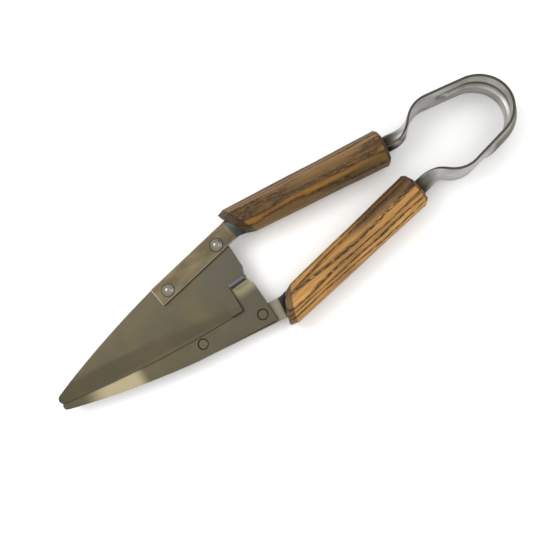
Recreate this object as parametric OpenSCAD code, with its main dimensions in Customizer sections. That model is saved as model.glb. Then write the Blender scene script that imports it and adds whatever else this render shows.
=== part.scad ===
// One-handed bow shears. Two wide blades pass over each other, and one steel strip springs them open:
// it is a flat strap under each blade, a rolled shank through each wooden grip, and a bow at the back.
// X runs from the bow to the blade tips, Y across the two arms, Z up from the surface they lie on.

/* [Blades] */
// Thickness of the blade steel
blade_t = 2.0; // [1.6:0.1:2.4]
// Heel edge to the tip
blade_len = 145; // [135:1:155]
// Centre line to the back of the blade, at the heel
blade_back = 33.4; // [32:0.2:36]
// How far the heel of the cutting edge reaches past the centre line when closed
blade_cross = 17.2; // [14:0.2:18]
// Radius of the rounded tip
tip_r = 3; // [2.5:0.1:3.5]
// Heel edge to the notch where the cutting edge begins
heel_len = 14; // [12:0.5:15]
// Width of the ground bevel along the cutting edge
bevel_w = 10; // [6:0.5:12]
// Steel left at the cutting edge
edge_t = 0.7; // [0.6:0.1:1]
// Height of the stop tab above the blade's inner face
tab_h = 7; // [4:0.5:8]

/* [Strip] */
// Width of the strip in the bow and the shanks
strip_w = 22; // [20:0.5:22]
// Thickness of the strip
strip_t = 1.4; // [1.2:0.1:1.5]
// Width of the strap that carries a blade
strap_w = 13.5; // [12:0.5:14]
// Length of the flat strap
strap_len = 62; // [58:1:66]
// Middle radius of the rolled shank
shank_r = 5.5; // [5.4:0.1:5.8]
// Length of the straight rolled shank
shank_len = 100; // [95:1:105]

/* [Bow] */
// Middle radius of the crown
crown_r = 19.8; // [18:0.2:22]
// Length of the straight side between the crown and the shoulder
side_len = 23; // [20:1:26]
// Angle of the side to the centre line
side_splay = 12; // [8:1:14]
// Middle radius of the shoulder
shoulder_r = 16; // [14:1:18]
// Height of the bead pressed out of the crown
bead_h = 3; // [2:0.2:3]
// Width of the bead
bead_w = 9; // [8:0.5:10]
// How far the bead runs on along each side
bead_side = 13; // [8:1:16]

/* [Rivets] */
// Distance between the two rivets of a blade
rivet_gap = 41.3; // [38:0.1:44]
// Diameter of the rivet shank
rivet_d = 5; // [4:0.5:5.5]
// Diameter of the domed head
head_d = 7.6; // [7:0.1:9]
// Height of the domed head
head_h = 2; // [1.4:0.1:2.4]
// Diameter of the closed end, flush in the blade
flush_d = 6.2; // [6:0.1:6.6]

/* [Grips] */
// Length of a grip on its centre line
grip_len = 104; // [101:1:105]
// Width across the flats at the front
grip_front_w = 19.6; // [19:0.2:20.4]
// Width across the flats at the back
grip_rear_w = 21.6; // [21:0.2:22.4]
// Height of a grip, which is also the height of the tool
grip_h = 22; // [22:0.2:24]
// Angle of the front end, away from a square cut
grip_slant = 32; // [24:1:36]
// Length of the facets cut round the front end
grip_ease = 5.5; // [3:0.5:7]

/* [Fits] */
// Gap between the two blades, and half the gap between the stop tabs
slip = 0.2; // [0.2:0.1:0.4]

/* [Hidden] */
$fn = 64;

// The arm turns in plan from the crown's top, where it runs along +Y, forward to the blade.
dip_turn = -33;
shank_turn = 7.8;
strap_turn = -8.2;
dip_len = 6;
neck_r = 22;
joggle_r = 33;
crown_sweep = 90 - side_splay;

// Whole length, with the bead and the tip, centred on the origin
strap_t = strip_t + 0.1;
heel_x = -6;
tip_x = heel_x + blade_len;
crown_x = -190.3;
back_x = crown_x - strip_t / 2 - bead_h;
frame_shift = [-(tip_x + back_x) / 2, 0, grip_h / 2];

// A step of the arm: a bend of radius r through an angle, or a straight of length len. A pose is
// [x, y, heading].
function bend(p, r, turn) =
    let (s = sign(turn), q = p[2] + turn)
    [p[0] + s * r * (sin(q) - sin(p[2])), p[1] - s * r * (cos(q) - cos(p[2])), q];
function ahead(p, len) = [p[0] + len * cos(p[2]), p[1] + len * sin(p[2]), p[2]];

crown_top = [crown_x, 0, 90];
crown_end = bend(crown_top, crown_r, -crown_sweep);
side_end = ahead(crown_end, side_len);
shoulder_end = bend(side_end, shoulder_r, dip_turn - side_splay);
dip_end = ahead(shoulder_end, dip_len);
neck_end = bend(dip_end, neck_r, shank_turn - dip_turn);
shank_end = ahead(neck_end, shank_len);
strap_start = bend(shank_end, joggle_r, strap_turn - shank_turn);

// Shallow curve from p to q that stands out by sag to the left of the way it runs
function shallow(p, q, sag, n = 16) = [for (i = [0:n])
    let (f = i / n, d = q - p)
    p + f * d + 4 * f * (1 - f) * sag * [-d[1], d[0]] / norm(d)];
function round_corner(c, r, from, to, n = 8) =
    [for (i = [0:n]) c + r * [cos(from + (to - from) * i / n), sin(from + (to - from) * i / n)]];
function smooth(f) = let (g = max(0, min(1, f))) g * g * (3 - 2 * g);
function mix(a, b, f) = a + (b - a) * f;

// ---- blades: drawn as the lower one, whose own side is +Y ----

notch_x = heel_x + heel_len;
tip_c = [tip_x - tip_r, 2.2];
edge_heel = [notch_x + 0.5, -blade_cross];
edge_tip = tip_c + tip_r * [cos(-97), sin(-97)];
back_mid = [50, blade_back - 6.6];
back_tip = tip_c + tip_r * [cos(74), sin(74)];
blade_top = -slip / 2;
tab_y = slip;
tab_x = heel_x + 2.5;
tab_len = heel_len - 3.5;
fold_r = 1.2;

module blade_outline() {
    polygon(concat(
        [edge_heel],
        shallow(edge_heel, edge_tip, -2.8),
        round_corner(tip_c, tip_r, -90, 66),
        shallow(back_tip, back_mid, -1.5),
        round_corner([heel_x + 0.6, blade_back - 0.6], 0.6, 84, 180),
        [[heel_x, 6], [tab_x, tab_y], [notch_x, tab_y]]));
}

// The bevel is ground on the outer face, so the inner faces slide flat on each other.
module bevel_cut() {
    run = edge_tip - edge_heel;
    drop = blade_t - edge_t;
    translate([edge_heel[0], edge_heel[1], blade_top - blade_t])
        rotate(atan2(run[1], run[0]))
            rotate([90, 0, 90])
                translate([0, 0, 8])
                    linear_extrude(norm(run) + 12)
                        polygon([[-8, drop], [0, drop], [bevel_w, 0], [bevel_w, -1], [-8, -1]]);
}

// The heel corner is folded up into a tab that meets the other blade's tab.
module stop_tab() {
    inner_y = tab_y + blade_t;
    translate([tab_x, 0, 0])
        rotate([90, 0, 90])
            linear_extrude(tab_len)
                polygon(concat(
                    [[tab_y, blade_top - 0.8], [tab_y, tab_h], [inner_y, tab_h]],
                    round_corner([inner_y + fold_r, blade_top + fold_r], fold_r, 180, 270),
                    [[inner_y + fold_r, blade_top - blade_t]],
                    round_corner([tab_y + fold_r, blade_top - blade_t + fold_r], fold_r, 270, 180)));
}

module blade() {
    difference() {
        union() {
            translate([0, 0, blade_top - blade_t])
                linear_extrude(blade_t)
                    difference() {
                        blade_outline();
                        translate([tab_x, -1])
                            square([tab_len, 1 + tab_y + blade_t + fold_r / 2]);
                    }
            stop_tab();
        }
        bevel_cut();
        for (p = rivet_spots)
            translate([p[0], p[1], 0])
                rivet_room();
    }
}

// ---- rivets ----

rivet_inset = 1.3;
seat = blade_top - blade_t - strap_t;
function along_strap(len) = let (p = ahead(strap_start, len))
    [p[0] + rivet_inset * sin(p[2]), p[1] - rivet_inset * cos(p[2])];
rear_rivet_at = 12.1;
rivet_spots = [along_strap(rear_rivet_at), along_strap(rear_rivet_at + rivet_gap)];
flush_h = 0.8;

module rivet_room() {
    translate([0, 0, seat - 1])
        cylinder(h = blade_t + strap_t + 1, d = rivet_d);
    translate([0, 0, blade_top - flush_h])
        cylinder(h = flush_h, d1 = rivet_d, d2 = flush_d);
    translate([0, 0, blade_top])
        cylinder(h = 1, d = flush_d);
}

module rivet(spot) {
    dome_r = (head_d * head_d / 4 + head_h * head_h) / (2 * head_h);
    translate([spot[0], spot[1], 0]) {
        translate([0, 0, seat])
            cylinder(h = blade_t + strap_t - flush_h, d = rivet_d);
        translate([0, 0, blade_top - flush_h])
            cylinder(h = flush_h, d1 = rivet_d, d2 = flush_d);
        intersection() {
            translate([0, 0, seat - head_h + dome_r])
                sphere(dome_r);
            translate([0, 0, seat - head_h])
                cylinder(h = head_h, d = head_d);
        }
    }
}

// ---- strip: one shank and strap, drawn as the lower one ----

// A section of the sheet at [x, y, heading]: roll turns its outer face from -Z (0) to the arm's outside
// (90), curl is its curvature, lift moves its middle out along that face's normal, and drop moves it down.
ring_half = 10;
function sheet_point(p, roll, curl, lift, drop, u, off) =
    let (k = max(curl, 0.002), a = k * u * 180 / PI)
    let (across = (1 / k + off) * sin(a), out = (1 / k + off) * cos(a) - 1 / k + lift)
    let (side = out * sin(roll) + across * cos(roll))
    let (down = out * cos(roll) - across * sin(roll) + drop)
    [p[0] - side * sin(p[2]), p[1] + side * cos(p[2]), -down];
function sheet_ring(p, roll, curl, lift, drop, w) = concat(
    [for (i = [-ring_half:ring_half])
        sheet_point(p, roll, curl, lift, drop, w * i / ring_half / 2, strip_t / 2)],
    [for (i = [ring_half:-1:-ring_half])
        sheet_point(p, roll, curl, lift, drop, w * i / ring_half / 2, -strip_t / 2)]);

curl_full = 1 / shank_r;
strap_drop = -seat - strap_t / 2;
strap_lap = 1;
roll_w = strip_w - 0.2;
corner_cut = 1.4;

// Back to front: flat and upright at the shoulder, rolled up in the neck, turned in the grip, and opened
// out flat at the joggle.
dip_rings = [for (i = [0:2])
    let (f = i / 3)
    sheet_ring(ahead(shoulder_end, 0.1 + (dip_len - 0.1) * f), 90, 0.25 * curl_full * smooth(f / 2),
        0.25 * shank_r * smooth(f / 2), 0, roll_w)];
neck_rings = [for (i = [0:10])
    let (f = i / 10, g = smooth(0.25 + 0.75 * f))
    sheet_ring(bend(dip_end, neck_r, (shank_turn - dip_turn) * f), 90, curl_full * g, shank_r * g, 0,
        roll_w)];
shank_rings = [for (i = [1:11])
    let (f = i / 12)
    sheet_ring(ahead(neck_end, shank_len * f), 90 - 90 * smooth(f), curl_full, shank_r, 0, roll_w)];
joggle_rings = [for (i = [0:10])
    let (f = i / 10, g = 1 - f)
    sheet_ring(bend(shank_end, joggle_r, (strap_turn - shank_turn) * f), 0, curl_full * g, shank_r * g,
        strap_drop * (1 - g), mix(strap_w - 0.1, roll_w, g * g * g))];
strap_rings = [sheet_ring(ahead(strap_start, 2 * strap_lap), 0, 0, 0, strap_drop, strap_w - 0.1)];
rings = concat(dip_rings, neck_rings, shank_rings, joggle_rings, strap_rings);

module swept(loops) {
    n = len(loops[0]);
    m = len(loops);
    last = (m - 1) * n;
    polyhedron(
        points = [for (loop = loops) each loop],
        faces = concat(
            [for (i = [0:n / 2 - 2]) each [[n - 1 - i, i, i + 1], [n - 1 - i, i + 1, n - 2 - i]]],
            [for (j = [0:m - 2], i = [0:n - 1])
                let (k = (i + 1) % n, a = j * n, b = (j + 1) * n)
                each [[a + i, b + k, a + k], [a + i, b + i, b + k]]],
            [for (i = [0:n / 2 - 2])
                let (a = last + i, b = last + n - 1 - i)
                each [[a, b, a + 1], [a + 1, b, b - 1]]]),
        convexity = 6);
}

module strap() {
    translate([strap_start[0], strap_start[1], seat])
        rotate(strap_turn)
            linear_extrude(strap_t)
                difference() {
                    translate([strap_lap, -strap_w / 2])
                        square([strap_len - strap_lap, strap_w]);
                    for (s = [-1, 1])
                        translate([strap_len, s * strap_w / 2])
                            rotate(45)
                                square(corner_cut, center = true);
                }
}

module shank() {
    difference() {
        union() {
            swept(rings);
            strap();
        }
        for (p = rivet_spots)
            translate([p[0], p[1], seat - 1])
                cylinder(h = strap_t + 2, d = rivet_d);
    }
}

// ---- bow: both sides of the centre line ----

function edge_point(p, off) = [p[0] - off * sin(p[2]), p[1] + off * cos(p[2])];
bow_path = concat(
    [for (i = [0:30]) bend(crown_top, crown_r, -crown_sweep * i / 30)],
    [for (i = [0:12]) bend(side_end, shoulder_r, (dip_turn - side_splay) * i / 12)]);
bow_count = len(bow_path);

module band_outline(inner, outer) {
    half_in = [for (p = bow_path) edge_point(p, inner)];
    half_out = [for (p = bow_path) edge_point(p, outer)];
    polygon(concat(
        half_out,
        [for (i = [bow_count - 1:-1:0]) half_in[i]],
        [for (i = [1:bow_count - 1]) [half_in[i][0], -half_in[i][1]]],
        [for (i = [bow_count - 1:-1:1]) [half_out[i][0], -half_out[i][1]]]));
}

// Tube along the crown and part of each side, with rounded ends
module bead_tube(r) {
    bead_r = (bead_w * bead_w / 4 + bead_h * bead_h) / (2 * bead_h);
    inset = bead_r - bead_h - strip_t / 2;
    end = edge_point(ahead(crown_end, bead_side), -inset);
    mid = edge_point(crown_end, -inset);
    translate([crown_x + crown_r, 0, 0])
        rotate(180 - crown_sweep)
            rotate_extrude(angle = 2 * crown_sweep)
                translate([crown_r - inset, 0])
                    circle(r + bead_r);
    for (s = [-1, 1]) {
        translate([mid[0], s * mid[1], 0])
            rotate([0, 90, s * side_splay])
                cylinder(h = bead_side, r = r + bead_r);
        translate([end[0], s * end[1], 0])
            sphere(r + bead_r);
    }
}

module bow() {
    difference() {
        union() {
            translate([0, 0, -strip_w / 2])
                linear_extrude(strip_w)
                    band_outline(-strip_t / 2, strip_t / 2);
            intersection() {
                bead_tube(0);
                translate([0, 0, -bead_w])
                    linear_extrude(2 * bead_w)
                        band_outline(0, bead_h + strip_t);
            }
        }
        bead_tube(-strip_t);
    }
}

// ---- grips: drawn as the lower one, along the shank ----

rear_off = 0.5;
front_off = 2.2;
bore_r = shank_r + strip_t / 2 + 0.6;
grip_back = 2.5;
front_inset = 1.6;
rear_chamfer = 1.5;

// A thin slice of the octagon, turned away from square by slant and drawn in from the flats by inset
module grip_slice(at, off, w, slant, inset) {
    hw = w / 2 - inset;
    hh = grip_h / 2 - inset;
    cut = 0.2929 * w;
    translate([at, off, 0])
        rotate(-slant)
            rotate([90, 0, 90])
                linear_extrude(0.01)
                    scale([1 / cos(slant), 1])
                        polygon([
                            [hw, cut - hh], [hw, hh - cut], [hw - cut, hh], [cut - hw, hh],
                            [-hw, hh - cut], [-hw, cut - hh], [cut - hw, -hh], [hw - cut, -hh]]);
}

module grip() {
    translate([neck_end[0], neck_end[1], 0])
        rotate(shank_turn)
            difference() {
                hull() {
                    grip_slice(grip_back, rear_off, grip_rear_w, 0, rear_chamfer);
                    grip_slice(grip_back + 1.3 * rear_chamfer, rear_off, grip_rear_w, 0, 0);
                    grip_slice(grip_back + grip_len - grip_ease, front_off, grip_front_w, grip_slant, 0);
                    grip_slice(grip_back + grip_len, front_off, grip_front_w, grip_slant, front_inset);
                }
                translate([grip_back - 5, 0, 0])
                    rotate([0, 90, 0])
                        cylinder(h = grip_len + 20, r = bore_r);
            }
}

// ---- the two arms: the upper is the lower turned half over about the centre line ----

module lower_arm() translate(frame_shift) children();
module upper_arm() translate(frame_shift) rotate([180, 0, 0]) children();

module upper_blade() color("darkkhaki") upper_arm() blade();
module lower_blade() color("gray") lower_arm() blade();
module bow_spring() color("lightsteelblue") lower_arm() bow();
module upper_shank() color("silver") upper_arm() shank();
module lower_shank() color("silver") lower_arm() shank();
module upper_grip() color("peru") upper_arm() grip();
module lower_grip() color("sienna") lower_arm() grip();
module upper_rear_rivet() color("gainsboro") upper_arm() rivet(rivet_spots[0]);
module upper_front_rivet() color("gainsboro") upper_arm() rivet(rivet_spots[1]);
module lower_rear_rivet() color("gainsboro") lower_arm() rivet(rivet_spots[0]);
module lower_front_rivet() color("gainsboro") lower_arm() rivet(rivet_spots[1]);

upper_blade();
lower_blade();
bow_spring();
upper_shank();
lower_shank();
upper_grip();
lower_grip();
upper_rear_rivet();
upper_front_rivet();
lower_rear_rivet();
lower_front_rivet();
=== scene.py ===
import bpy
import math
from mathutils import Matrix, Vector


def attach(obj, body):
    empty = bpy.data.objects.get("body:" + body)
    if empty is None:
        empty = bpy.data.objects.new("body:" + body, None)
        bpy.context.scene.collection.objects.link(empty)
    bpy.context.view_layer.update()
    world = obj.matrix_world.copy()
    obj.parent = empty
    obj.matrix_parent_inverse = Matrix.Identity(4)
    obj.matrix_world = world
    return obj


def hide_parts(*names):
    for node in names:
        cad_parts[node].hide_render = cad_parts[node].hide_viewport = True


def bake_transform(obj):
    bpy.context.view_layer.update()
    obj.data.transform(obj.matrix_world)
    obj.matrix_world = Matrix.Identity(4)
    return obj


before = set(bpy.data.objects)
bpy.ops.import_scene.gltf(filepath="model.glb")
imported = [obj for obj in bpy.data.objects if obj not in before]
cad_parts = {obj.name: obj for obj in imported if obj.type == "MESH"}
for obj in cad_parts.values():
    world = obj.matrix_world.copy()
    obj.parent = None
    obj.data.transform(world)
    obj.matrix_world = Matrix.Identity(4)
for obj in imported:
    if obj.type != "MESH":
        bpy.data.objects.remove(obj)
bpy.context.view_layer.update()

# One-handed bow shears: one steel strip carries both blades and runs through both grips.
# The lower arm lies on +Y. The upper arm is the same arm turned half over about the long axis.

mm = 0.001
middle = 11  # height of the plane between the two blades
midHeight = middle * mm


# small tools

def clearSelection():
    if bpy.context.object and bpy.context.object.mode != "OBJECT":
        bpy.ops.object.mode_set(mode="OBJECT")
    bpy.ops.object.select_all(action="DESELECT")


def makeActive(piece):
    clearSelection()
    piece.select_set(True)
    bpy.context.view_layer.objects.active = piece


def editFaces(piece, wanted=None):
    makeActive(piece)
    bpy.ops.object.mode_set(mode="EDIT")
    bpy.ops.mesh.select_mode(type="FACE")
    bpy.ops.mesh.select_all(action="SELECT" if wanted is None else "DESELECT")
    if wanted:
        bpy.ops.object.mode_set(mode="OBJECT")
        for face in piece.data.polygons:
            face.select = wanted(face)
        bpy.ops.object.mode_set(mode="EDIT")


def applyModifier(piece, kind, **settings):
    makeActive(piece)
    modifier = piece.modifiers.new(kind.lower(), kind)
    for name, value in settings.items():
        setattr(modifier, name, value)
    bpy.ops.object.modifier_apply(modifier=modifier.name)


def breakEdges(piece, width, segments, degrees):
    applyModifier(piece, "BEVEL", width=width * mm, segments=segments, limit_method="ANGLE",
                  angle_limit=math.radians(degrees))


def placeInMesh(piece):
    makeActive(piece)
    bpy.ops.object.transform_apply(location=True, rotation=True, scale=True)


def smoothByAngle(piece, degrees):
    makeActive(piece)
    bpy.ops.object.shade_smooth_by_angle(angle=math.radians(degrees))


def keepFlatsFlat(piece):
    applyModifier(piece, "WEIGHTED_NORMAL", keep_sharp=True, weight=100)


def copyOf(piece, name):
    twin = piece.copy()
    twin.data = piece.data.copy()
    twin.name = twin.data.name = name
    bpy.context.collection.objects.link(twin)
    return twin


def turnHalfOver(piece):  # from the lower arm to the upper arm
    lift = Matrix.Translation((0, 0, midHeight))
    piece.data.transform(lift @ Matrix.Rotation(math.pi, 4, "X") @ lift.inverted())
    return piece


def smooth(f):
    g = min(1, max(0, f))
    return g * g * (3 - 2 * g)


def mix(a, b, f):
    return a + (b - a) * f


# material tools

def colour(hexValue):
    parts = [int(hexValue[i:i + 2], 16) / 255 for i in (1, 3, 5)]
    return [p / 12.92 if p <= 0.04045 else ((p + 0.055) / 1.055) ** 2.4 for p in parts] + [1]


def addNode(tree, kind, inputs=None, stops=(), **settings):
    node = tree.nodes.new("ShaderNode" + kind)
    for name, value in settings.items():
        setattr(node, name, value)
    for key, given in (inputs or {}).items():  # a node, one of its outputs, a hex colour or a value
        if isinstance(given, bpy.types.Node):
            given = given.outputs[0]
        if isinstance(given, bpy.types.NodeSocket):
            tree.links.new(given, node.inputs[key])
        else:
            node.inputs[key].default_value = colour(given) if isinstance(given, str) else given
    if stops:
        elements = node.color_ramp.elements
        while len(elements) < len(stops):
            elements.new(0.5)
        for element, (place, value) in zip(elements, stops):  # a hex colour or a grey
            element.position = place
            element.color = colour(value) if isinstance(value, str) else (value, value, value, 1)
    return node


def newMaterial(name):
    material = bpy.data.materials.new(name)
    material.use_nodes = True
    tree = material.node_tree
    return material, tree, tree.nodes["Principled BSDF"]


def setMaterial(piece, material):
    piece.data.materials.clear()
    piece.data.materials.append(material)


# the strip: blank, roll, bend

strip = {
    "width": 21.9, "thickness": 1.4,
    "strapWidth": 13.5, "strapLength": 62, "strapCorner": 1.0, "strapDepth": 2.85,
    "crownX": -162.8, "crownRadius": 19.8, "crownSweep": 78,
    "sideLength": 23,
    "shoulderRadius": 16, "dipTurn": -33, "dipLength": 6,
    "neckRadius": 22, "shankTurn": 7.8, "rollRadius": 5.5,
    "shankLength": 100, "joggleRadius": 33, "strapTurn": -8.2,
    "rollNarrows": 0.1, "edgeBreak": 0.25,
    "beadHeight": 3, "beadWidth": 9, "beadFull": 34, "beadTaper": 11, "beadEdge": 3.5,
    "columns": 36,
    "rows": {
        "crown": 22, "side": 16, "shoulder": 13, "dip": 4, "neck": 14, "shank": 40, "joggle": 18, "strap": 30,
    },
}


def layStrip(s):
    crown = s["crownRadius"] * math.radians(s["crownSweep"])
    shoulder = s["shoulderRadius"] * math.radians(90 - s["crownSweep"] - s["dipTurn"])
    neck = s["neckRadius"] * math.radians(s["shankTurn"] - s["dipTurn"])
    joggle = s["joggleRadius"] * math.radians(s["shankTurn"] - s["strapTurn"])
    # each leg of the arm's plan: its length and its curvature, from the top of the crown forward
    return [
        ("crown", crown, -1 / s["crownRadius"]), ("side", s["sideLength"], 0),
        ("shoulder", shoulder, -1 / s["shoulderRadius"]), ("dip", s["dipLength"], 0),
        ("neck", neck, 1 / s["neckRadius"]), ("shank", s["shankLength"], 0),
        ("joggle", joggle, -1 / s["joggleRadius"]), ("strap", s["strapLength"], 0),
    ]


stripLegs = layStrip(strip)
legLengths = {name: length for name, length, curve in stripLegs}
armLength = sum(legLengths.values())


def walk(distance):  # place, heading, leg and how far along the leg
    x, y, heading = strip["crownX"], 0, math.radians(90)
    for name, length, curve in stripLegs:
        step = min(distance, length)
        turned = heading + curve * step
        if curve:
            x += (math.sin(turned) - math.sin(heading)) / curve
            y -= (math.cos(turned) - math.cos(heading)) / curve
        else:
            x += step * math.cos(heading)
            y += step * math.sin(heading)
        heading = turned
        if distance <= length or name == "strap":
            return x, y, heading, name, step
        distance -= length


legStart = {}
reached = 0
for legName, legLength in legLengths.items():
    legStart[legName] = reached
    reached += legLength


def beadRise(u, distance):
    width, height = strip["beadWidth"] / 2, strip["beadHeight"]
    radius = (width * width + height * height) / (2 * height)
    past = max(0, distance - strip["beadFull"]) / strip["beadTaper"]
    reach = math.hypot(u / width, past)
    if reach >= 1:
        return 0
    rise = math.sqrt(radius * radius - (reach * width) ** 2) - (radius - height)
    return rise * smooth((1 - reach) * strip["beadEdge"])


def rowPlace(v):  # every leg starts on a row of the blank, so that the folds are crisp
    row = round(abs(v) * sum(strip["rows"].values()))
    for name, length in legLengths.items():
        count = strip["rows"][name]
        if name == "strap" and row < count:  # the last row cuts the corners
            length = (length - strip["strapCorner"]) * count / (count - 1)
        if row <= count:
            return math.copysign(legStart[name] + length * row / count, v)
        row -= count


def formed(u, distance):  # u is -1 to 1 across the blank, distance runs from the top of the crown
    side = 1 if distance >= 0 else -1
    u, distance = u * side, abs(distance)
    x, y, heading, leg, along = walk(distance)
    roll, curl, drop, width = 90, 0, 0, strip["width"]
    if leg in ("dip", "neck"):
        curl = smooth((distance - legStart["dip"]) / (legLengths["dip"] + legLengths["neck"]))
        width -= strip["rollNarrows"] * curl
    elif leg == "shank":
        roll, curl = 90 - 90 * smooth(along / strip["shankLength"]), 1
        width -= strip["rollNarrows"]
    elif leg == "joggle":
        curl = 1 - along / legLengths["joggle"]
        roll, drop = 0, strip["strapDepth"] * (1 - curl)
        width = mix(strip["strapWidth"], width - strip["rollNarrows"], curl ** 3)
    elif leg == "strap":
        roll, drop = 0, strip["strapDepth"]
        width = strip["strapWidth"] - 2 * max(0, along - strip["strapLength"] + strip["strapCorner"])
    lift = strip["rollRadius"] * curl
    bend = max(curl / strip["rollRadius"], 0.0004)  # a flat stretch counts as very slightly rolled
    angle = bend * u * width / 2
    across, out = math.sin(angle) / bend, (math.cos(angle) - 1) / bend + lift
    if leg in ("crown", "side"):
        out += beadRise(u * width / 2, distance)
    rollAngle = math.radians(roll)
    outward = out * math.sin(rollAngle) + across * math.cos(rollAngle)
    down = out * math.cos(rollAngle) - across * math.sin(rollAngle) + drop
    point = Vector((x - outward * math.sin(heading), y + outward * math.cos(heading), middle - down))
    if side < 0:
        point = Vector((point.x, -point.y, 2 * middle - point.z))
    return point * mm


def buildStrip():
    clearSelection()
    rows = 2 * sum(strip["rows"].values())
    bpy.ops.mesh.primitive_grid_add(x_subdivisions=strip["columns"], y_subdivisions=rows, size=2)
    blank = bpy.context.object
    blank.name = blank.data.name = "springStrip"
    # the blank is rolled and bent by moving each of its points, because its section changes all along
    for spot in blank.data.uv_layers.active.data:
        spot.uv.y = 0.5 + 0.5 * rowPlace(2 * spot.uv.y - 1) / armLength
    for vertex in blank.data.vertices:
        vertex.co = formed(vertex.co.x, rowPlace(vertex.co.y))
    applyModifier(blank, "SOLIDIFY", thickness=strip["thickness"] * mm, offset=0, use_even_offset=True)
    editFaces(blank)
    bpy.ops.mesh.normals_make_consistent(inside=False)
    bpy.ops.object.mode_set(mode="OBJECT")
    breakEdges(blank, strip["edgeBreak"], 2, 60)
    smoothByAngle(blank, 35)
    print("strip formed")
    return blank


springStrip = buildStrip()


# the grips: an octagonal billet, cut, chamfered, bored and eased

grip = {
    "length": 104, "backWidth": 21.6, "frontWidth": 19.6, "height": 22,
    "slant": 32, "frontChamfer": 5.5, "frontInset": 1.6, "backChamfer": 1.5,
    "backOutward": 0.5, "frontOutward": 2.2, "bore": 6.8, "ease": 0.6, "back": 2.5,
    "billet": 130, "drill": 160, "handCut": 0.26, "leastCut": 0.02, "knifeMarks": range(9, 100, 13),
}
neckPlace = walk(legStart["shank"])


def buildGrip():
    g = grip
    frontAt = g["back"] + g["length"] - g["frontChamfer"]
    slant = math.radians(g["slant"])
    cutNormal = (math.cos(slant), -math.sin(slant), 0)
    clearSelection()
    bpy.ops.mesh.primitive_cylinder_add(
        vertices=8, radius=g["height"] / 2 / math.cos(math.radians(22.5)) * mm, depth=g["billet"] * mm,
        end_fill_type="NGON", location=((g["billet"] / 2 + g["back"]) * mm, 0, 0),
        rotation=(0, math.radians(90), 0))
    billet = bpy.context.object
    billet.name = billet.data.name = "lowerGripWood"
    placeInMesh(billet)
    editFaces(billet)
    bpy.ops.transform.rotate(value=math.radians(22.5), orient_axis="X", center_override=(0, 0, 0))
    bpy.ops.transform.resize(value=(1, g["backWidth"] / g["height"], 1), center_override=(0, 0, 0))
    editFaces(billet, lambda face: face.normal.x > 0.9)
    taper = 1 + (g["frontWidth"] / g["backWidth"] - 1) * g["billet"] / g["length"]
    bpy.ops.transform.resize(value=(1, taper, 1), center_override=(0, 0, 0))
    for station in g["knifeMarks"]:  # rings where the cut of the knife wanders a little
        bpy.ops.mesh.select_all(action="SELECT")
        bpy.ops.mesh.bisect(plane_co=(station * mm, 0, 0), plane_no=(1, 0, 0))
    bpy.ops.mesh.select_all(action="SELECT")
    bpy.ops.mesh.bisect(plane_co=(frontAt * mm, 0, 0), plane_no=cutNormal, clear_outer=True, use_fill=True)
    bpy.ops.object.mode_set(mode="OBJECT")
    for vertex in billet.data.vertices:
        x, y, z = (c / mm for c in vertex.co)
        quick = math.sin(x * 0.19 + 3 * math.atan2(z, y))
        slow = math.sin(x * 0.071 + math.atan2(y, z))
        wander = g["handCut"] * quick * slow
        if x > g["back"] + 3:
            shrink = 1 - (abs(wander) + g["leastCut"]) / (g["height"] / 2)
            vertex.co.y *= shrink
            vertex.co.z *= shrink
    editFaces(billet, lambda face: face.normal.dot(Vector(cutNormal)) > 0.98)
    bpy.ops.mesh.extrude_region_move(TRANSFORM_OT_translate={"value": (g["frontChamfer"] * mm, 0, 0)})
    inset = 1 - 2 * g["frontInset"] / g["frontWidth"]
    bpy.ops.transform.resize(
        value=(inset, inset, inset), center_override=((frontAt + g["frontChamfer"]) * mm, 0, 0))
    editFaces(billet, lambda face: face.normal.x < -0.9)
    bpy.ops.mesh.extrude_region_move(TRANSFORM_OT_translate={"value": (0, 0, 0)})
    inset = 1 - 2 * g["backChamfer"] / g["backWidth"]
    bpy.ops.transform.resize(value=(1, inset, inset), center_override=(g["back"] * mm, 0, 0))
    bpy.ops.object.mode_set(mode="OBJECT")
    for vertex in billet.data.vertices:  # the full octagon starts just behind the chamfer
        radius = math.hypot(vertex.co.y, vertex.co.z)
        if vertex.co.x < (g["back"] + 0.1) * mm and radius > g["height"] / 2 * mm:
            vertex.co.x += 1.3 * g["backChamfer"] * mm
    for vertex in billet.data.vertices:  # the wood leans outward towards the blade
        along = min(1, max(0, (vertex.co.x / mm - g["back"]) / (frontAt - g["back"])))
        vertex.co.y += mix(g["backOutward"], g["frontOutward"], along) * mm
    clearSelection()
    bpy.ops.mesh.primitive_cylinder_add(
        vertices=72, radius=g["bore"] * mm, depth=g["drill"] * mm, location=(g["length"] / 2 * mm, 0, 0),
        rotation=(0, math.radians(90), 0))
    drill = bpy.context.object
    placeInMesh(drill)
    applyModifier(billet, "BOOLEAN", object=drill, operation="DIFFERENCE", solver="EXACT")
    bpy.data.objects.remove(drill)
    breakEdges(billet, g["ease"], 3, 12)
    x, y, heading = neckPlace[:3]
    billet.data.transform(Matrix.Translation((x * mm, y * mm, midHeight)) @ Matrix.Rotation(heading, 4, "Z"))
    smoothByAngle(billet, 30)
    keepFlatsFlat(billet)
    print("grip cut")
    return billet


lowerGrip = buildGrip()
upperGrip = turnHalfOver(copyOf(lowerGrip, "upperGripWood"))


# the rivets: a set head on the strap, a closed end flush in the blade

rivet = {
    "shank": 2.5, "head": 3.8, "headHeight": 2.0, "flush": 3.0, "seat": -3.6,
    "rearAlong": 12.1, "gap": 41.3, "inset": 1.3,
}
rivetStations = {"Rear": rivet["rearAlong"], "Front": rivet["rearAlong"] + rivet["gap"]}  # along the strap



def rivetSpot(along):
    x, y, heading = walk(legStart["strap"] + along)[:3]
    return x + rivet["inset"] * math.sin(heading), y - rivet["inset"] * math.cos(heading)


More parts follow.
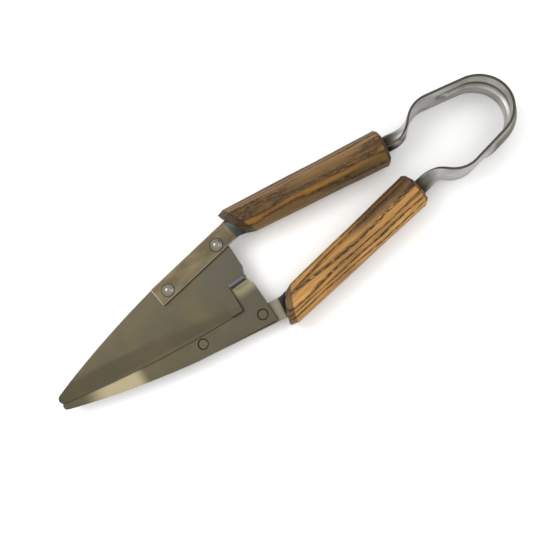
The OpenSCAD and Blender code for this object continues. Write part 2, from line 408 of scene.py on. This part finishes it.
def buildRivet():
    r = rivet
    ball = (r["head"] ** 2 + r["headHeight"] ** 2) / (2 * r["headHeight"])
    lowest = r["seat"] - r["headHeight"]
    # radius and height of each ring, from the closed end down to the head and round its ball
    rings = [
        (r["flush"] - 0.25, -0.13), (r["flush"], -0.3), (r["shank"], -0.85), (r["shank"], r["seat"]),
        (r["head"] - 0.35, r["seat"]), (r["head"] - 0.05, r["seat"] - 0.12), (r["head"], r["seat"] - 0.3),
    ]
    widest = math.asin((r["head"] - 0.12) / ball)
    for k in range(6, 0, -1):
        angle = widest * k / 7
        rings.append((ball * math.sin(angle), lowest + ball * (1 - math.cos(angle))))
    firstRadius, firstZ = rings[0]
    clearSelection()
    bpy.ops.mesh.primitive_circle_add(
        vertices=48, radius=firstRadius * mm, fill_type="NGON", location=(0, 0, firstZ * mm))
    piece = bpy.context.object
    piece.name = piece.data.name = "lowerRearRivetSteel"
    placeInMesh(piece)
    editFaces(piece)
    bpy.ops.mesh.flip_normals()
    for (radius, z), (nextRadius, nextZ) in zip(rings, rings[1:]):
        bpy.ops.mesh.extrude_region_move(TRANSFORM_OT_translate={"value": (0, 0, (nextZ - z) * mm)})
        grow = nextRadius / radius
        bpy.ops.transform.resize(value=(grow, grow, 1), center_override=(0, 0, nextZ * mm))
    bpy.ops.mesh.select_all(action="SELECT")
    bpy.ops.mesh.normals_make_consistent(inside=False)
    bpy.ops.object.mode_set(mode="OBJECT")
    smoothByAngle(piece, 32)
    return piece


rivets = {}
firstRivet = buildRivet()
for place, along in rivetStations.items():
    lower = copyOf(firstRivet, f"lower{place}RivetSteel")
    x, y = rivetSpot(along)
    lower.data.transform(Matrix.Translation((x * mm, y * mm, midHeight)))
    rivets[f"lower_{place.lower()}_rivet"] = lower
    rivets[f"upper_{place.lower()}_rivet"] = turnHalfOver(copyOf(lower, f"upper{place}RivetSteel"))
bpy.data.objects.remove(firstRivet)
print("rivets set")


# the blades: the sheared plates, with their edges broken as a deburring wheel leaves them

blade = {
    "weld": 0.002, "flatWithin": 0.4, "edgeBreak": 0.22,
    "rearRivetX": 27.5, "groundSlope": 0.205, "groundShoulder": -17.5,
}


def buildBlade(node, name):
    plate = copyOf(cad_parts[node], name)
    plate.parent = None
    for key in list(plate.keys()):
        del plate[key]
    editFaces(plate)
    bpy.ops.mesh.remove_doubles(threshold=blade["weld"] * mm)
    bpy.ops.mesh.dissolve_limited(angle_limit=math.radians(blade["flatWithin"]))
    bpy.ops.object.mode_set(mode="OBJECT")
    breakEdges(plate, blade["edgeBreak"], 2, 35)
    smoothByAngle(plate, 30)
    keepFlatsFlat(plate)
    return plate


upperBlade = buildBlade("upper_blade", "upperBladePlate")
lowerBlade = buildBlade("lower_blade", "lowerBladePlate")
print("blades cut")


# materials

def stripSteel():
    # cold-rolled stainless spring strip, tumbled after bending: satin, with fine scratches along its length
    material, tree, steel = newMaterial("tumbled stainless strip")
    place = addNode(tree, "TexCoord").outputs["UV"]
    # millimetres on the flat blank: x from its middle line, y from the top of the crown
    flat = addNode(tree, "Mapping", {
        "Vector": place, "Location": (-11, -armLength, 0), "Scale": (22, 2 * armLength, 1)})
    across, along = addNode(tree, "SeparateXYZ", {0: flat}).outputs[:2]
    # 0.45 mm by 20 mm scratches, and 11 mm by 17 mm clouds
    streakSpace = addNode(tree, "VectorMath", {0: flat, 1: (2.2, 0.05, 1)}, operation="MULTIPLY")
    streaks = addNode(tree, "TexNoise", {"Vector": streakSpace, "Scale": 1, "Detail": 4, "Roughness": 0.6})
    cloudSpace = addNode(tree, "VectorMath", {0: flat, 1: (0.09, 0.06, 1)}, operation="MULTIPLY")
    clouds = addNode(tree, "TexNoise", {"Vector": cloudSpace, "Scale": 1, "Detail": 3, "Roughness": 0.55})
    # the straps keep the mill's warm olive tone, the bow is brighter and neutral
    fromCrown = addNode(tree, "Math", {0: along}, operation="ABSOLUTE")
    zone = addNode(tree, "MapRange", {0: fromCrown, 1: 66, 2: 92}, interpolation_type="SMOOTHSTEP")
    bowTone = addNode(tree, "ValToRGB", {0: clouds}, [
        (0.3, "#8f8c88"), (0.52, "#b3b1ae"), (0.75, "#cccac8")])
    strapTone = addNode(tree, "ValToRGB", {0: clouds}, [
        (0.3, "#4c4434"), (0.5, "#584f3d"), (0.75, "#685d48")])
    tone = addNode(tree, "MixRGB", {"Fac": zone, "Color1": bowTone, "Color2": strapTone})
    scratched = addNode(tree, "ValToRGB", {0: streaks}, [(0.3, 0.72), (0.5, 0.95), (0.7, 1.08)])
    tone = addNode(tree, "MixRGB", {"Fac": 0.5, "Color1": tone, "Color2": scratched}, blend_type="MULTIPLY")
    # painted shade: the neck, the trough of the joggle and the hollow of the bead are painted darker, where
    # shade falls
    strapAt = legStart["strap"] / armLength
    reach = addNode(tree, "Math", {0: fromCrown, 1: 1 / armLength}, operation="MULTIPLY")
    neckShade = addNode(tree, "ValToRGB", {0: reach}, [(0.285, 1.0), (0.335, "#6f6b63"), (0.45, 1.0)])
    tone = addNode(tree, "MixRGB", {"Fac": 1, "Color1": tone, "Color2": neckShade}, blend_type="MULTIPLY")
    joggleShade = addNode(tree, "ValToRGB", {0: reach}, [
        (0.45, 0.0), (0.5, 0.85), (strapAt - 0.002, 0.85), (strapAt, 0.0)])
    tone = addNode(tree, "MixRGB", {"Fac": joggleShade, "Color1": tone, "Color2": "#353b3e"})
    fromMiddle = addNode(tree, "Math", {0: across}, operation="ABSOLUTE")
    past = addNode(tree, "MapRange", {
        0: fromCrown, 1: strip["beadFull"], 2: strip["beadFull"] + strip["beadTaper"], 3: 0, 4: 4.5})
    hollowAt = addNode(tree, "Math", {0: fromMiddle, 1: past}, operation="ADD")
    hollow = addNode(tree, "MapRange", {0: hollowAt, 1: 4.6, 2: 2.6, 3: 0, 4: 0.85},
                     interpolation_type="SMOOTHSTEP")
    tone = addNode(tree, "MixRGB", {"Fac": hollow, "Color1": tone, "Color2": "#5a5143"})
    # painted light: the lower arm's strap is painted bright where it comes out from under the blade
    strapStart = legStart["strap"]
    strapLightFrom = addNode(tree, "MapRange", {0: along, 1: strapStart - 0.1, 2: strapStart + 0.1})
    strapLightTo = addNode(tree, "MapRange", {0: along, 1: strapStart + 8, 2: strapStart + 3, 3: 0, 4: 0.75})
    strapLight = addNode(tree, "Math", {0: strapLightFrom, 1: strapLightTo}, operation="MULTIPLY")
    tone = addNode(tree, "MixRGB", {"Fac": strapLight, "Color1": tone, "Color2": "#8b8473"})
    # painted shade: a dark ring is painted round each rivet head, where the head sits on the strap
    squeeze = strip["strapWidth"] / strip["width"]
    onArm = addNode(tree, "CombineXYZ", {0: across, 1: fromCrown})
    for station in rivetStations.values():
        for hand in (-1, 1):
            spot = (-hand * rivet["inset"] / squeeze, strapStart + station, 0)
            away = addNode(tree, "VectorMath", {0: onArm, 1: spot}, operation="SUBTRACT")
            square = addNode(tree, "VectorMath", {0: away, 1: (squeeze, 1, 1)}, operation="MULTIPLY")
            far = addNode(tree, "VectorMath", {0: square}, operation="LENGTH").outputs["Value"]
            ring = addNode(tree, "MapRange", {
                0: far, 1: rivet["head"] + 1.1, 2: rivet["head"] + 0.1, 3: 0, 4: 0.8})
            armSide = addNode(tree, "Math", {0: along, 1: hand * 100}, operation="MULTIPLY", use_clamp=True)
            here = addNode(tree, "Math", {0: ring, 1: armSide}, operation="MULTIPLY")
            tone = addNode(tree, "MixRGB", {"Fac": here, "Color1": tone, "Color2": "#211e17"})
    # sheared edges are darker round the bow, and carry a painted highlight along the straps
    sideEdge = addNode(tree, "MapRange", {0: fromMiddle, 1: 10.25, 2: 10.7})
    endEdge = addNode(tree, "MapRange", {0: fromCrown, 1: armLength - 0.8, 2: armLength - 0.4})
    edge = addNode(tree, "Math", {0: sideEdge, 1: endEdge}, operation="MAXIMUM")
    onStrap = addNode(tree, "Math", {0: reach, 1: strapAt}, operation="GREATER_THAN")
    edgeTone = addNode(tree, "MixRGB", {"Fac": onStrap, "Color1": "#4b493f", "Color2": "#968d78"})
    tone = addNode(tree, "MixRGB", {"Fac": edge, "Color1": tone, "Color2": edgeTone})
    gloss = addNode(tree, "MapRange", {0: streaks, 1: 0.3, 2: 0.7, 3: 0.30, 4: 0.44})
    relief = addNode(tree, "Bump", {"Height": streaks, "Strength": 0.12, "Distance": 0.05 * mm})
    tree.links.new(tone.outputs[0], steel.inputs["Base Color"])
    tree.links.new(gloss.outputs[0], steel.inputs["Roughness"])
    tree.links.new(relief.outputs[0], steel.inputs["Normal"])
    steel.inputs["Metallic"].default_value = 1
    return material


def bladeSteel(name, side):
    # stainless cutlery plate, belt-finished: dull olive grey satin, with the belt's fine lines along it
    material, tree, steel = newMaterial(name)
    place = addNode(tree, "TexCoord").outputs["Object"]
    # millimetres on the arm: x from the rear rivet, y towards the arm's own side
    local = addNode(tree, "Mapping", {
        "Vector": place, "Location": (-blade["rearRivetX"], 0, -middle * side),
        "Scale": (1000, 1000 * side, 1000 * side)})
    x, y, z = addNode(tree, "SeparateXYZ", {0: local}).outputs
    # the belt's lines are 0.6 mm by 29 mm, the clouds 22 mm
    beltSpace = addNode(tree, "Mapping", {
        "Vector": local, "Rotation": (0, 0, math.radians(14)), "Scale": (0.035, 1.7, 1)})
    belt = addNode(tree, "TexNoise", {"Vector": beltSpace, "Scale": 1, "Detail": 4, "Roughness": 0.65})
    clouds = addNode(tree, "TexNoise", {"Vector": local, "Scale": 0.045, "Detail": 3, "Roughness": 0.5})
    tone = addNode(tree, "ValToRGB", {0: clouds}, [(0.3, "#524e43"), (0.5, "#575141"), (0.72, "#615842")])
    nearHeel = addNode(tree, "MapRange", {0: x, 1: 40, 2: 0, 3: 0, 4: 0.6}, interpolation_type="SMOOTHSTEP")
    tone = addNode(tree, "MixRGB", {"Fac": nearHeel, "Color1": tone, "Color2": "#545147"})
    lines = addNode(tree, "ValToRGB", {0: belt}, [(0.28, 0.9), (0.5, 1.0), (0.72, 1.06)])
    tone = addNode(tree, "MixRGB", {"Fac": 0.5, "Color1": tone, "Color2": lines}, blend_type="MULTIPLY")
    # the ground zone along the cutting edge reflects a little darker, with a soft shoulder
    shoulder = addNode(tree, "Math", {0: x, 1: blade["groundSlope"], 2: blade["groundShoulder"]},
                       operation="MULTIPLY_ADD")
    fromShoulder = addNode(tree, "Math", {0: y, 1: shoulder}, operation="SUBTRACT")
    ground = addNode(tree, "MapRange", {0: fromShoulder, 1: 3.4, 2: 0.6, 3: 0, 4: 0.45},
                     interpolation_type="SMOOTHSTEP")
    tone = addNode(tree, "MixRGB", {"Fac": ground, "Color1": tone, "Color2": "#4d4738"})
    if side > 0:
        # painted highlights on the lower blade's inner face: a painted reflection behind the tip, and a
        # painted highlight by the stop
        front = addNode(tree, "MapRange", {0: x, 1: 80, 2: 89}, interpolation_type="SMOOTHSTEP")
        fade = addNode(tree, "MapRange", {0: x, 1: 126, 2: 108}, interpolation_type="SMOOTHSTEP")
        tipSheen = addNode(tree, "Math", {0: front, 1: fade}, operation="MULTIPLY")
        tone = addNode(tree, "MixRGB", {"Fac": tipSheen, "Color1": tone, "Color2": "#9b9073"})
        heelX = addNode(tree, "MapRange", {0: x, 1: 15, 2: 1}, interpolation_type="SMOOTHSTEP")
        heelY = addNode(tree, "MapRange", {0: y, 1: 12, 2: 3}, interpolation_type="SMOOTHSTEP")
        stopHighlight = addNode(tree, "Math", {0: heelX, 1: heelY}, operation="MULTIPLY")
        tone = addNode(tree, "MixRGB", {"Fac": stopHighlight, "Color1": tone, "Color2": "#a09879"})
    # the folded tab is coloured blue-grey where it stands above the blade face
    folded = addNode(tree, "MapRange", {0: z, 1: 0.3, 2: 0.8})
    tone = addNode(tree, "MixRGB", {"Fac": folded, "Color1": tone, "Color2": "#5c5d63"})
    # a fine dark gap shows round each closed rivet end
    plan = addNode(tree, "VectorMath", {0: local, 1: (1, 1, 0)}, operation="MULTIPLY")
    for station in rivetStations.values():
        rivetX, rivetY = rivetSpot(station)
        spot = (rivetX - blade["rearRivetX"], rivetY, 0)
        far = addNode(tree, "VectorMath", {0: plan, 1: spot}, operation="DISTANCE").outputs["Value"]
        ring = addNode(tree, "MapRange", {
            0: far, 1: rivet["flush"] + 0.7, 2: rivet["flush"] + 0.35, 3: 0, 4: 0.95})
        tone = addNode(tree, "MixRGB", {"Fac": ring, "Color1": tone, "Color2": "#15130f"})
    gloss = addNode(tree, "MapRange", {0: belt, 1: 0.3, 2: 0.7, 3: 0.44, 4: 0.54})
    relief = addNode(tree, "Bump", {"Height": belt, "Strength": 0.06, "Distance": 0.05 * mm})
    tree.links.new(tone.outputs[0], steel.inputs["Base Color"])
    tree.links.new(gloss.outputs[0], steel.inputs["Roughness"])
    tree.links.new(relief.outputs[0], steel.inputs["Normal"])
    steel.inputs["Metallic"].default_value = 1
    return material


def rivetSteel():
    # stainless wire rivet, its head set with a snap and left bright, a little scratched
    material, tree, steel = newMaterial("bright stainless rivet")
    place = addNode(tree, "TexCoord").outputs
    local = addNode(tree, "Mapping", {"Vector": place["Object"], "Scale": (1000, 1000, 1000)})
    # 0.6 mm scratches
    scratches = addNode(tree, "TexNoise", {"Vector": local, "Scale": 1.6, "Detail": 4, "Roughness": 0.6})
    tone = addNode(tree, "ValToRGB", {0: scratches}, [(0.3, "#78746a"), (0.55, "#858174"), (0.75, "#928e82")])
    # painted shade: the steep rim of each head is painted darker
    upward = addNode(tree, "VectorMath", {0: place["Normal"], 1: (0, 0, 1)}, operation="DOT_PRODUCT")
    level = addNode(tree, "Math", {0: upward.outputs["Value"]}, operation="ABSOLUTE")
    rim = addNode(tree, "MapRange", {0: level, 1: 0.86, 2: 0.6, 3: 0, 4: 0.75},
                  interpolation_type="SMOOTHSTEP")
    tone = addNode(tree, "MixRGB", {"Fac": rim, "Color1": tone, "Color2": "#3a362c"})
    # the closed ends were ground flush with the blade and share its tone
    height = addNode(tree, "SeparateXYZ", {0: local}).outputs[2]
    fromMiddle = addNode(tree, "Math", {0: height, 1: middle}, operation="SUBTRACT")
    depth = addNode(tree, "Math", {0: fromMiddle}, operation="ABSOLUTE")
    closed = addNode(tree, "Math", {0: depth, 1: 2}, operation="LESS_THAN")
    tone = addNode(tree, "MixRGB", {"Fac": closed, "Color1": tone, "Color2": "#625b49"})
    gloss = addNode(tree, "MapRange", {0: scratches, 1: 0.3, 2: 0.7, 3: 0.1, 4: 0.2})
    tree.links.new(tone.outputs[0], steel.inputs["Base Color"])
    tree.links.new(gloss.outputs[0], steel.inputs["Roughness"])
    steel.inputs["Metallic"].default_value = 1
    return material


def gripWood(name, side, look):
    # oiled ash with open pores: warm growth bands, near-black rows of pores like dashes, dark end grain
    material, tree, wood = newMaterial(name)
    place = addNode(tree, "TexCoord").outputs
    x, y, heading = neckPlace[:3]
    turned = heading * side
    neck = Matrix.Rotation(-turned, 4, "Z") @ Vector((x, y * side, 0))
    local = addNode(tree, "Mapping", {
        "Vector": place["Object"], "Location": (-neck.x, -neck.y, -middle), "Rotation": (0, 0, -turned),
        "Scale": (1000, 1000, 1000)})
    # millimetres from the neck, the same on both arms
    own = addNode(tree, "VectorMath", {0: local, 1: (1, side, side)}, operation="MULTIPLY")
    # growth rings round the pith, which wander over 60 mm by 10 mm
    driftSpace = addNode(tree, "VectorMath", {0: own, 1: (0.016, 0.10, 0.10)}, operation="MULTIPLY")
    drift = addNode(tree, "TexNoise", {"Vector": driftSpace, "Scale": 1, "Detail": 2, "Roughness": 0.5})
    sway = (0, look["wander"], look["wander"])
    pushed = addNode(tree, "VectorMath", {0: drift.outputs["Color"], 1: sway}, operation="MULTIPLY")
    grown = addNode(tree, "VectorMath", {0: own, 1: pushed}, operation="ADD")
    fromPith = addNode(tree, "VectorMath", {0: grown, 1: look["pith"]}, operation="SUBTRACT")
    section = addNode(tree, "VectorMath", {0: fromPith, 1: (look["cathedral"], 1, 1)}, operation="MULTIPLY")
    radius = addNode(tree, "VectorMath", {0: section}, operation="LENGTH").outputs["Value"]
    years = addNode(tree, "Math", {0: radius, 1: 1 / look["ringGap"]}, operation="MULTIPLY")
    season = addNode(tree, "Math", {0: years}, operation="FRACT")
    porous = addNode(tree, "ValToRGB", {0: season}, [
        (0.0, 0.5), (0.12, 0.0), (0.56, 0.0), (0.74, 0.85), (0.92, 1.0), (1.0, 0.6)])
    # pores 3 mm by 0.5 mm, bundles of fibres 20 mm by 0.8 mm, and broad clouds 45 mm by 9 mm
    dashSpace = addNode(tree, "VectorMath", {0: grown, 1: (0.3, 1.9, 1.9)}, operation="MULTIPLY")
    dashes = addNode(tree, "TexNoise", {"Vector": dashSpace, "Scale": 1, "Detail": 3, "Roughness": 0.6})
    rows = addNode(tree, "MapRange", {0: dashes, 1: 0.36, 2: 0.5})
    pores = addNode(tree, "Math", {0: porous, 1: rows}, operation="MULTIPLY")
    fibreSpace = addNode(tree, "VectorMath", {0: grown, 1: (0.05, 1.3, 1.3)}, operation="MULTIPLY")
    fibres = addNode(tree, "TexNoise", {"Vector": fibreSpace, "Scale": 1, "Detail": 4, "Roughness": 0.65})
    broadSpace = addNode(tree, "VectorMath", {0: own, 1: (0.022, 0.11, 0.11)}, operation="MULTIPLY")
    broad = addNode(tree, "TexNoise", {"Vector": broadSpace, "Scale": 1, "Detail": 2})
    tone = addNode(tree, "ValToRGB", {0: broad}, [
        (0.3, look["deep"]), (0.5, look["middle"]), (0.7, look["light"])])
    fibreTone = addNode(tree, "ValToRGB", {0: fibres}, [(0.32, 0.42), (0.5, 0.92), (0.68, 1.3)])
    tone = addNode(tree, "MixRGB", {"Fac": 0.8, "Color1": tone, "Color2": fibreTone}, blend_type="MULTIPLY")
    # some of the flats are darker, chosen by the way they face and how far along the grip they lie
    alongGrip = addNode(tree, "SeparateXYZ", {0: own}).outputs[0]
    uneven = addNode(tree, "MapRange", {0: fibres, 1: 0.35, 2: 0.6, 3: 0.55, 4: 1.0})
    for darkFlat in look["darkFlats"]:
        outward = addNode(tree, "VectorMath", {0: own, 1: darkFlat["towards"]}, operation="DOT_PRODUCT")
        flats = addNode(tree, "MapRange", {0: outward.outputs["Value"], 1: darkFlat["from"], 2: darkFlat["to"]},
                        interpolation_type="SMOOTHSTEP")
        stretch = addNode(tree, "MapRange", {0: alongGrip, 1: darkFlat["start"], 2: darkFlat["end"]},
                          interpolation_type="SMOOTHSTEP")
        area = addNode(tree, "Math", {0: flats, 1: stretch}, operation="MULTIPLY")
        broken = addNode(tree, "Math", {0: area, 1: uneven}, operation="MULTIPLY")
        amount = addNode(tree, "Math", {0: broken, 1: darkFlat["strength"]}, operation="MULTIPLY")
        tone = addNode(tree, "MixRGB", {"Fac": amount, "Color1": tone, "Color2": darkFlat["colour"]})
    poreAmount = addNode(tree, "Math", {0: pores, 1: look["poreStrength"]}, operation="MULTIPLY")
    tone = addNode(tree, "MixRGB", {"Fac": poreAmount, "Color1": tone, "Color2": look["pore"]})
    # end grain drinks the oil
    gripAxis = (math.cos(turned), math.sin(turned), 0)
    facing = addNode(tree, "VectorMath", {0: place["Normal"], 1: gripAxis}, operation="DOT_PRODUCT")
    endOn = addNode(tree, "Math", {0: facing.outputs["Value"]}, operation="ABSOLUTE")
    ends = addNode(tree, "MapRange", {0: endOn, 1: 0.1, 2: 0.24, 3: 0, 4: look["endDark"]})
    tone = addNode(tree, "MixRGB", {"Fac": ends, "Color1": tone, "Color2": "#2f1f10"})
    gloss = addNode(tree, "MapRange", {0: pores, 1: 0, 2: 1, 3: 0.5, 4: 0.75})
    poreDepth = addNode(tree, "Math", {0: pores, 1: -1.6}, operation="MULTIPLY")
    height = addNode(tree, "Math", {0: poreDepth, 1: fibres}, operation="ADD")
    relief = addNode(tree, "Bump", {"Height": height, "Strength": 0.45, "Distance": 0.25 * mm})
    tree.links.new(tone.outputs[0], wood.inputs["Base Color"])
    tree.links.new(gloss.outputs[0], wood.inputs["Roughness"])
    tree.links.new(relief.outputs[0], wood.inputs["Normal"])
    wood.inputs["IOR"].default_value = 1.48
    wood.inputs["Specular IOR Level"].default_value = 0.35
    return material


upperWoodLook = {
    "ringGap": 2.7, "wander": 5.0, "pith": (40, 6, 26), "cathedral": 0.03, "endDark": 0.86,
    "light": "#a6752f", "middle": "#916425", "deep": "#77521f", "pore": "#20150b", "poreStrength": 0.85,
    "darkFlats": [
        {"towards": (0, 0.75, -0.66), "from": 1.0, "to": 8.5, "start": -2, "end": -1,
         "strength": 0.7, "colour": "#56452a"},
        {"towards": (0, -1, -0.25), "from": 7.3, "to": 8.3, "start": -2, "end": -1,
         "strength": 0.75, "colour": "#4c4424"},
    ],
}
lowerWoodLook = {
    "ringGap": 3.1, "wander": 6.0, "pith": (20, -4, 30), "cathedral": 0.06, "endDark": 0.72,
    "light": "#be8e4a", "middle": "#ad7d3e", "deep": "#946a32", "pore": "#1b120a", "poreStrength": 0.96,
    "darkFlats": [
        {"towards": (0, -0.75, 0.66), "from": 6.5, "to": 9.0, "start": 62, "end": 34,
         "strength": 0.9, "colour": "#2e2115"},
    ],
}

setMaterial(springStrip, stripSteel())
setMaterial(upperBlade, bladeSteel("ground stainless blade, upper", -1))
setMaterial(lowerBlade, bladeSteel("ground stainless blade, lower", 1))
setMaterial(upperGrip, gripWood("oiled ash, upper grip", -1, upperWoodLook))
setMaterial(lowerGrip, gripWood("oiled ash, lower grip", 1, lowerWoodLook))
brightRivet = rivetSteel()
for piece in rivets.values():
    setMaterial(piece, brightRivet)
print("materials made")


# riding

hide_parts("bow_spring", "upper_shank", "lower_shank")
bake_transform(springStrip)
for piece, node, body, slot in (
        (upperBlade, "upper_blade", "upper_arm", "blade_steel"),
        (lowerBlade, "lower_blade", "lower_arm", "blade_steel"),
        (upperGrip, "upper_grip", "upper_arm", "grip_wood"),
        (lowerGrip, "lower_grip", "lower_arm", "grip_wood")):
    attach(piece, body)
    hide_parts(node)
for node, piece in rivets.items():
    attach(piece, node.split("_")[0] + "_arm")
    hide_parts(node)


# floor, light and camera

studio = {
    "floorSide": 4.0, "floorGap": 0.02, "floorColour": "#fbfbfa", "sky": 1.15, "horizon": 0.85,
    "lamps": (("windowLight", (0.35, -0.45, 0.75), 0.5, 2.5), ("fillLight", (-0.5, 0.3, 0.7), 0.6, 0.8)),
    "eye": (-0.01648, 0.07571, 0.33745), "turned": (7.914, 10.752, 146.208), "lens": 37.05, "sensor": 36,
}

clearSelection()
bpy.ops.mesh.primitive_plane_add(size=studio["floorSide"], location=(0, 0, -studio["floorGap"] * mm))
floor = bpy.context.object
floor.name = "paleFloor"
floorMaterial, _, floorShader = newMaterial("matt white board")
floorShader.inputs["Base Color"].default_value = colour(studio["floorColour"])
floorShader.inputs["Roughness"].default_value = 0.9
floorShader.inputs["Specular IOR Level"].default_value = 0.1
setMaterial(floor, floorMaterial)

world = bpy.data.worlds.new("studio")
bpy.context.scene.world = world
world.use_nodes = True
skyTree = world.node_tree
skyPlace = addNode(skyTree, "TexCoord").outputs["Generated"]
skyHeight = addNode(skyTree, "SeparateXYZ", {0: skyPlace}).outputs[2]
skyTone = addNode(skyTree, "ValToRGB", {0: skyHeight}, [
    (0.0, studio["horizon"]), (0.35, 1.0), (0.8, studio["sky"])])
skyTree.links.new(skyTone.outputs[0], skyTree.nodes["Background"].inputs["Color"])

for lampName, spot, size, power in studio["lamps"]:
    clearSelection()
    bpy.ops.object.light_add(type="AREA", location=spot)
    lamp = bpy.context.object
    lamp.name = lampName
    lamp.data.size = size
    lamp.data.energy = power
    lamp.rotation_euler = (-Vector(spot)).to_track_quat("-Z", "Y").to_euler()  # it looks at the origin

bpy.ops.object.camera_add(location=studio["eye"], rotation=tuple(math.radians(a) for a in studio["turned"]))
camera = bpy.context.object
camera.data.lens = studio["lens"]
camera.data.sensor_width = studio["sensor"]
camera.data.clip_start = 0.01
bpy.context.scene.camera = camera
bpy.context.scene.view_settings.view_transform = "Standard"
print("studio ready")
